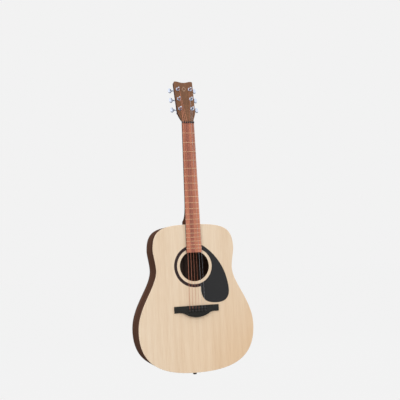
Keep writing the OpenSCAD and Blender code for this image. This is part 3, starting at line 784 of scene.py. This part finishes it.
def build_neck():
    stations = [i * HEEL_START / 10 for i in range(11)]
    end = BODY_TOP + 0.2 * MM
    stations += [HEEL_START + (end - HEEL_START) * math.sin(math.pi / 2 * i / 30)
                 for i in range(1, 31)]
    rings = [neck_ring(z) for z in reversed(stations)]
    rings.append(neck_ring(NUT_LEN * 0.5))
    rings += [blend_ring(u * MM) for u in range(2, 40, 2)]
    shaft = add_piece("neck_shaft", loft("neck_shaft", rings), MATERIALS["neck_wood"])
    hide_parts("neck")


def head_loop(from_u):
    """The headstock's outline, (x, u), with its two ears and the dip between them."""
    ear, low = 4 * MM, HEAD_LEN - 4.5 * MM
    dip = [(HEAD_HALF - 9 * MM, HEAD_LEN), (18 * MM, HEAD_LEN - 0.4 * MM), (12 * MM, low),
           (0, low)]
    right = [bezier(HEAD_FLARE, k / 24) for k in range(25)]
    right = [point for point in right if point[1] >= from_u]
    right += [(HEAD_HALF - ear + ear * math.cos(a), HEAD_LEN - ear + ear * math.sin(a))
              for a in (math.pi / 2 * k / 10 for k in range(11))]
    right += [bezier(dip, k / 16) for k in range(17)]
    return right + [(-x, u) for x, u in reversed(right[:-1])]


def build_headstock():
    places = [HEAD.inverted() @ post_at(i) for i in STRINGS]
    bores = [circle(POST_BORE_R, 40, (place.x, place.z)) for place in places]
    slab_start = 33 * MM
    mesh = plate_mesh("head_slab", [head_loop(slab_start)] + bores, 0.0, HEAD_T, 1.2 * MM, HEAD)
    slab = add_piece("head_slab", mesh, MATERIALS["neck_wood"])
    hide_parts("headstock")
    mesh = plate_mesh("head_face", [head_loop(0.0)] + bores, -VENEER_T, 0.05 * MM, 0.35 * MM,
                      HEAD)
    face = add_piece("head_face", mesh, MATERIALS["head_wood"])
    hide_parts("head_veneer")
    tall, wide, middle = 10 * MM, 8 * MM, HEAD_LEN - 30 * MM
    lozenge = [(0, middle + tall), (wide, middle), (0, middle - tall), (-wide, middle)]
    open_share = 0.72
    inner = [(x * open_share, middle + (u - middle) * open_share) for x, u in lozenge]
    mesh = plate_mesh("head_lozenge", [lozenge, inner], -VENEER_T - 0.05 * MM, -MM, 0.01 * MM, HEAD)
    mark = add_piece("head_lozenge", mesh, MATERIALS["inlay_gold"])
    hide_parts("head_inlay")


def build_fingerboard():
    edge = 0.9 * MM
    rings = []
    for z in [BOARD_END * k / 40 for k in range(41)]:
        half = board_half(z)
        ring = [Vector((half, 0, z)), Vector((half, -BOARD_T + crown(half) + edge, z))]
        for k in range(1, 5):
            a = math.pi / 2 * k / 4
            ring.append(Vector((half - edge + edge * math.cos(a),
                                -BOARD_T + crown(half) + edge - edge * math.sin(a), z)))
        for k in range(1, 12):
            x = (half - edge) * (1 - 2 * k / 12)
            ring.append(Vector((x, -BOARD_T + crown(x), z)))
        mirror = [Vector((-p.x, p.y, z)) for p in reversed(ring[:6])]
        rings.append(ring + mirror)
    board = add_piece("finger_board", loft("finger_board", rings), MATERIALS["board_wood"])
    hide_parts("fingerboard")


def build_frets():
    """Crowned wires that follow the fingerboard, their ends filed back."""
    wide, filed_back, sunk = 0.9 * MM, 0.9 * MM, 0.1 * MM
    meshes = []
    for n in range(1, 21):
        z = fret_z(n)
        half = board_half(z) - 0.1 * MM
        rings = []
        for k in range(25):
            x = half * (1 - 2 * k / 24)
            filed = min(1.0, (half - abs(x)) / filed_back + 0.15)
            base = -BOARD_T + crown(x) + sunk
            rings.append([Vector((x, base - (FRET_H + sunk) * filed * math.sin(a),
                                  z + wide * math.cos(a)))
                          for a in (math.pi * j / 10 for j in range(11))])
        meshes.append(loft(f"fret_{n}", rings))
    wires = add_piece("fret_wires", merged("fret_wires", meshes), MATERIALS["nickel"])
    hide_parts("frets")


# ---- bridge ----
def build_bridge():
    """A dark bridge: a full middle, wings scooped thin, and a belly below."""
    half, high, low = BRIDGE_SIZE.x / 2, BRIDGE_HIGH.z, BRIDGE_LOW.z
    middle_t, wing_t, wing_h = -BRIDGE_LOW.y, 3.6 * MM, 22 * MM
    belly = [(half - 20 * MM, high - wing_h), (half - 38 * MM, high - wing_h),
             (34 * MM, low), (0, low)]
    curve = [bezier(belly, k / 60) for k in range(61)]

    def bottom(x):
        if abs(x) >= belly[0][0]:
            return high - wing_h
        return min(curve, key=lambda p: abs(p[0] - abs(x)))[1]

    def thickness(x):
        flat, scoop = 39 * MM, 24 * MM
        share = max(0.0, min(1.0, (abs(x) - flat) / scoop))
        return middle_t + (wing_t - middle_t) * (share * share * (3 - 2 * share))

    rings = []
    count, edge, end_edge, end_drop = 120, 1.6 * MM, 1.4 * MM, 1.2 * MM
    corner = [(edge * (1 - math.sin(a)), edge * (1 - math.cos(a)))
              for a in (math.pi / 2 * j / 5 for j in range(6))]
    for k in range(count + 1):
        x = half * (1 - 2 * k / count)
        end = min(1.0, (half - abs(x)) / end_edge)
        soft = math.sqrt(max(0.0, 1 - (1 - end) ** 2))
        front = end_drop * (1 - soft) - thickness(x)
        low_z = bottom(x)
        ring = [Vector((x, 0, high))]
        ring += [Vector((x, front + back, high - down)) for back, down in corner]
        ring += [Vector((x, front + back, low_z + up)) for up, back in corner]
        ring.append(Vector((x, 0, low_z)))
        rings.append(ring)
    bridge = add_piece("bridge_block", loft("bridge_block", rings), MATERIALS["black_bridge"])
    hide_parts("bridge")


SADDLE_Z = -SCALE - 2 * MM
PIN_TOP = BRIDGE_LOW.y


def string_share(i):
    """How far string i lies across: from +1/2 for the first to -1/2 for the sixth."""
    return (3.5 - i) / 5


def pin_place(i):
    """Bridge pin i's middle. The row bows down a little at its ends."""
    bow = abs(i - 3.5) * 0.3 * MM
    return Vector((SADDLE_SPREAD * string_share(i), 0, SADDLE_Z - 9 * MM - bow))


def build_bridge_pins():
    face = -PIN_TOP
    profile = [(0.2, -15), (2.0, -15), (2.4, -2)]
    head = [(2.4, 1.4), (3.8, 1.9), (4.15, 2.3), (4.1, 3.0), (3.4, 3.9), (2.2, 4.5),
            (0.9, 4.8), (0.05, 4.85)]
    points = [(r * MM, h * MM) for r, h in profile] + [(r * MM, face + h * MM) for r, h in head]
    meshes = [lathe_mesh(f"pin_{i}", points, facing(pin_place(i), Vector((0, -1, 0))), 32)
              for i in STRINGS]
    pins = add_piece("pin_set", merged("pin_set", meshes), MATERIALS["black_plastic"])
    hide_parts("bridge_pins")


# ---- tuners ----
WHEEL_R = 3.6 * MM
WHEEL_TEETH = 14


def worm_mesh(i):
    """Three turns of a round thread: a circle set off its axis and turned as it goes along."""
    turns, per_turn, sides = 3, 20, 20
    pitch = 2 * math.pi * WHEEL_R / WHEEL_TEETH
    radius, off = 1.9 * MM, 0.45 * MM
    lean = HEAD.to_3x3()
    rings = []
    for k in range(turns * per_turn + 1):
        a = 2 * math.pi * k / per_turn
        ring = []
        for j in range(sides):
            b = a + 2 * math.pi * j / sides
            u = radius * math.cos(b) - off * math.cos(a)
            v = radius * math.sin(b) - off * math.sin(a)
            ring.append(key_at(i) + lean @ Vector(((k / per_turn - turns / 2) * pitch, v, -u)))
        rings.append(ring)
    return loft(f"worm_{i}", rings)


def build_button(i):
    """A chromed oval button on its stem, pillowed on both faces."""
    side = outward(i)
    axis = Vector((side, 0, 0))
    place = facing(key_at(i), axis)
    stem = [(0.1, 2.0), (1.4, 2.0), (1.4, 8.4), (2.3, 8.4), (2.6, 8.8), (2.6, 10.2), (2.1, 10.8),
            (1.9, 12.2), (2.4, 12.9), (2.9, 14.2), (3.1, 15.6), (2.4, 17.2), (0.1, 17.4)]
    meshes = [lathe_mesh(f"stem_{i}", [(r * MM, h * MM) for r, h in stem], place, 32)]
    meshes.append(worm_mesh(i))
    middle = key_at(i) + axis * 23 * MM
    lean = Matrix.Rotation(-HEAD_TILT, 4, "X")
    wide, tall, thick, layers = 6.4 * MM, 9.6 * MM, 3.2 * MM, 12
    rings = []
    for k in range(layers + 1):
        a = math.pi * (k / layers - 0.5)
        swell = max(abs(math.cos(a)) ** 0.42, 0.02)
        rise = thick * math.sin(a)
        ring = []
        for j in range(48):
            b = 2 * math.pi * j / 48
            c, s = math.cos(b), math.sin(b)
            x = wide * swell * math.copysign(abs(c) ** 0.8, c)
            z = tall * swell * math.copysign(abs(s) ** 0.8, s)
            pinch = 1 - 0.10 * (z / tall) ** 2 * (1 if x * side < 0 else 0)
            ring.append(middle + lean @ Vector((x * pinch, rise, z)))
        rings.append(ring)
    meshes.append(loft(f"paddle_{i}", rings))
    button = add_piece(f"tuner_button_{i}", merged(f"tuner_button_{i}", meshes),
                       MATERIALS["chrome"], f"key_{i}", 40)
    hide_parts(f"tuner_key_{i}")


COIL_LOW = VENEER_T + 5.2 * MM


def coil_turns(i):
    return 3 if i > 3 else 4


def build_coil(i):
    """The turns of string i on its post, climbing away from the headstock."""
    radius = STRING_R[i - 1]
    place = facing(post_at(i), POST_AXIS)
    turns = coil_turns(i)
    steps = 40
    path = []
    for k in range(turns * steps + 1):
        a = 2 * math.pi * k / steps
        height = COIL_LOW + radius * (1.3 + 2.04 * k / steps * (turns - 1) / turns)
        reach = POST_R + radius * 0.95
        path.append(place @ Vector((reach * math.cos(a), reach * math.sin(a), height)))
    finish = MATERIALS["wound" if i > 2 else "steel"]
    coil = add_piece(f"coil_{i}", tube_mesh(f"coil_{i}", path, radius, 10), finish, f"post_{i}")
    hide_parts(f"string_coil_{i}")


# ---- strings ----
STRING_NUT_Y = -BOARD_T - FRET_H - 0.6 * MM
STRING_SADDLE_Y = STRING_NUT_Y - 3.6 * MM


def string_at(i, share):
    """The middle of string i over the nut (0), over the saddle (1) or between."""
    nut_x = NUT_SPREAD * string_share(i)
    x = (NUT_SPREAD + (SADDLE_SPREAD - NUT_SPREAD) * share) * string_share(i)
    y = STRING_NUT_Y + (STRING_SADDLE_Y - STRING_NUT_Y) * share + crown(nut_x) - STRING_R[i - 1]
    return Vector((x, y, SADDLE_Z * share))


def rounded_path(stops, reach):
    """The stops joined by straight runs, each corner eased over a short reach."""
    path, steps = [stops[0]], 6
    for before, corner, after in zip(stops, stops[1:], stops[2:]):
        a = corner + (before - corner).normalized() * min(reach, (before - corner).length * 0.4)
        b = corner + (after - corner).normalized() * min(reach, (after - corner).length * 0.4)
        for k in range(steps + 1):
            t = k / steps
            path.append(a * (1 - t) ** 2 + corner * 2 * t * (1 - t) + b * t * t)
    return path + [stops[-1]]


def build_string(i):
    """String i from its post over the nut and the saddle and down through the bridge."""
    radius = STRING_R[i - 1]
    post = HEAD.inverted() @ post_at(i)
    start = HEAD @ Vector((post.x - outward(i) * (POST_R + radius), -COIL_LOW + radius * 0.2,
                           post.z))
    slot = pin_place(i) + Vector((0, 0, 3.5 * MM))
    saddle_back = 1.4 * MM + pin_place(i).x * math.sin(math.radians(1.6))
    stops = [start, string_at(i, 0) + Vector((0, 0, NUT_LEN - 0.5 * MM)),
             string_at(i, 0) + Vector((0, 0, 0.5 * MM)),
             string_at(i, 1) - Vector((0, 0, saddle_back)),
             slot + Vector((0, PIN_TOP - 0.5 * MM, 0)), slot + Vector((0, PLATE_T + 5 * MM, 0))]
    path = rounded_path(stops, 1.2 * MM)
    finish = MATERIALS["wound" if i > 2 else "steel"]
    wire = add_piece(f"string_{i}", tube_mesh(f"string_{i}", path, radius, 12), finish)
    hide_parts("wound_strings" if i > 2 else "plain_strings")


# ---- end pin ----
def build_end_pin():
    low, high, _ = size_of("end_pin")
    at = Vector(((low.x + high.x) / 2, (low.y + high.y) / 2, BODY_BOTTOM))
    profile = [(0.1, -12), (3.3, -12), (3.3, -0.2), (6.2, 0), (6.5, 0.5), (6.2, 1.4), (4.2, 2.2),
               (3.6, 3.2), (3.5, 5.6), (3.8, 7.4), (5.4, 8.6), (6.5, 9.6), (6.6, 11.2),
               (6.2, 12.6), (4.8, 13.6), (2.4, 14.0), (0.1, 14.0)]
    mesh = lathe_mesh("tail_pin", [(r * MM, h * MM) for r, h in profile],
                      facing(at, Vector((0, 0, -1))), 48)
    pin = add_piece("tail_pin", mesh, MATERIALS["black_plastic"])
    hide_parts("end_pin")


def dress_cad_nodes():
    """Nodes whose shape is right keep it, with a finish and softened edges."""
    for node in ("top_linings", "back_linings", "x_braces", "tone_bars", "finger_braces",
                 "upper_braces"):
        dress(node, MATERIALS["brace_wood"])
    for node in ("back_strip", "back_braces"):
        dress(node, MATERIALS["back_wood"])
    for node in ("neck_block", "tail_block", "bridge_plate"):
        dress(node, MATERIALS["neck_wood"])
    dress("heel_cap", MATERIALS["black_binding"])
    dress("nut", MATERIALS["black_plastic"], 0.3 * MM)
    dress("saddle", MATERIALS["black_plastic"], 0.3 * MM)
    dress("truss_rod", MATERIALS["steel"])
    dress("truss_nut", MATERIALS["steel"], 0.2 * MM)
    dress("tuner_housings", MATERIALS["chrome"], 0.9 * MM, 40)
    dress("tuner_bushings", MATERIALS["chrome"], 0.3 * MM)
    dress("tuner_screws", MATERIALS["chrome"], 0.15 * MM)
    for i in STRINGS:
        dress(f"tuner_post_{i}", MATERIALS["chrome"], 0.15 * MM)


# ---- studio ----
FLOOR_Z = -1.2
PALE = tone(242, 242, 242)
# how brightly the floor and the walls light the guitar, and how bright the camera sees them
FLOOR_GLOW, FLOOR_SEEN = 0.5, 0.94
WALL_GLOW, WALL_SEEN = 1.45, 1.0
LENS = 62.32
CAMERA_PLACE = Vector((-0.6729, -2.2767, -0.4836))
CAMERA_AIM = Vector((0.0311, 0.0, -0.2687))
CAMERA_ROLL = math.radians(2.82)


def glow(tree, on_others, on_camera):
    """A strength with one value for the camera and another for all that it lights."""
    ray = add_node(tree, "ShaderNodeLightPath").outputs["Is Camera Ray"]
    return spread(tree, ray, 0.0, 1.0, on_others, on_camera)


def build_studio():
    bpy.ops.mesh.primitive_circle_add(vertices=96, radius=40, fill_type="NGON",
                                      location=(0, 0, FLOOR_Z))
    floor = bpy.context.object
    floor.name = "studio_floor"
    material, tree, shader = new_material("pale_floor")
    shader.inputs["Base Color"].default_value = (0.04, 0.04, 0.04, 1)
    shader.inputs["Roughness"].default_value = 1.0
    shader.inputs["Specular IOR Level"].default_value = 0.0
    shader.inputs["Emission Color"].default_value = PALE
    tree.links.new(glow(tree, FLOOR_GLOW, FLOOR_SEEN), shader.inputs["Emission Strength"])
    floor.data.materials.append(material)

    world = bpy.data.worlds.new("studio")
    world.use_nodes = True
    bpy.context.scene.world = world
    tree = world.node_tree
    walls = tree.nodes["Background"]
    walls.inputs["Color"].default_value = PALE
    tree.links.new(glow(tree, WALL_GLOW, WALL_SEEN), walls.inputs["Strength"])

    def softbox(name, place, aim, size, power):
        light = bpy.data.lights.new(name, "AREA")
        light.shape = "RECTANGLE"
        light.size, light.size_y = size
        light.energy = power
        lamp = bpy.data.objects.new(name, light)
        bpy.context.scene.collection.objects.link(lamp)
        lamp.location = place
        lamp.rotation_euler = (Vector(aim) - Vector(place)).to_track_quat("-Z", "Y").to_euler()
    softbox("key", (-2.0, -2.6, 1.6), (0, 0, -0.5), (1.8, 1.8), 16)
    softbox("back", (1.4, 3.0, 1.4), (0, 0, -0.4), (2.0, 2.0), 16)


def build_camera():
    camera = bpy.data.cameras.new("camera")
    camera.sensor_width = 36
    camera.lens = LENS
    holder = bpy.data.objects.new("camera", camera)
    bpy.context.scene.collection.objects.link(holder)
    look = (CAMERA_AIM - CAMERA_PLACE).to_track_quat("-Z", "Y").to_matrix().to_4x4()
    roll = Matrix.Rotation(-CAMERA_ROLL, 4, "Z")
    holder.matrix_world = Matrix.Translation(CAMERA_PLACE) @ look @ roll
    bpy.context.scene.camera = holder


build_camera()
build_studio()
build_soundboard()
build_rosette()
build_side("treble_side", "side_treble", 1)
build_side("bass_side", "side_bass", -1)
build_back()
build_binding()
build_pickguard()
build_neck()
build_headstock()
build_fingerboard()
build_frets()
build_bridge()
build_bridge_pins()
build_end_pin()
for number in STRINGS:
    build_button(number)
    build_coil(number)
    build_string(number)
dress_cad_nodes()
bpy.context.scene.view_settings.view_transform = "Standard"
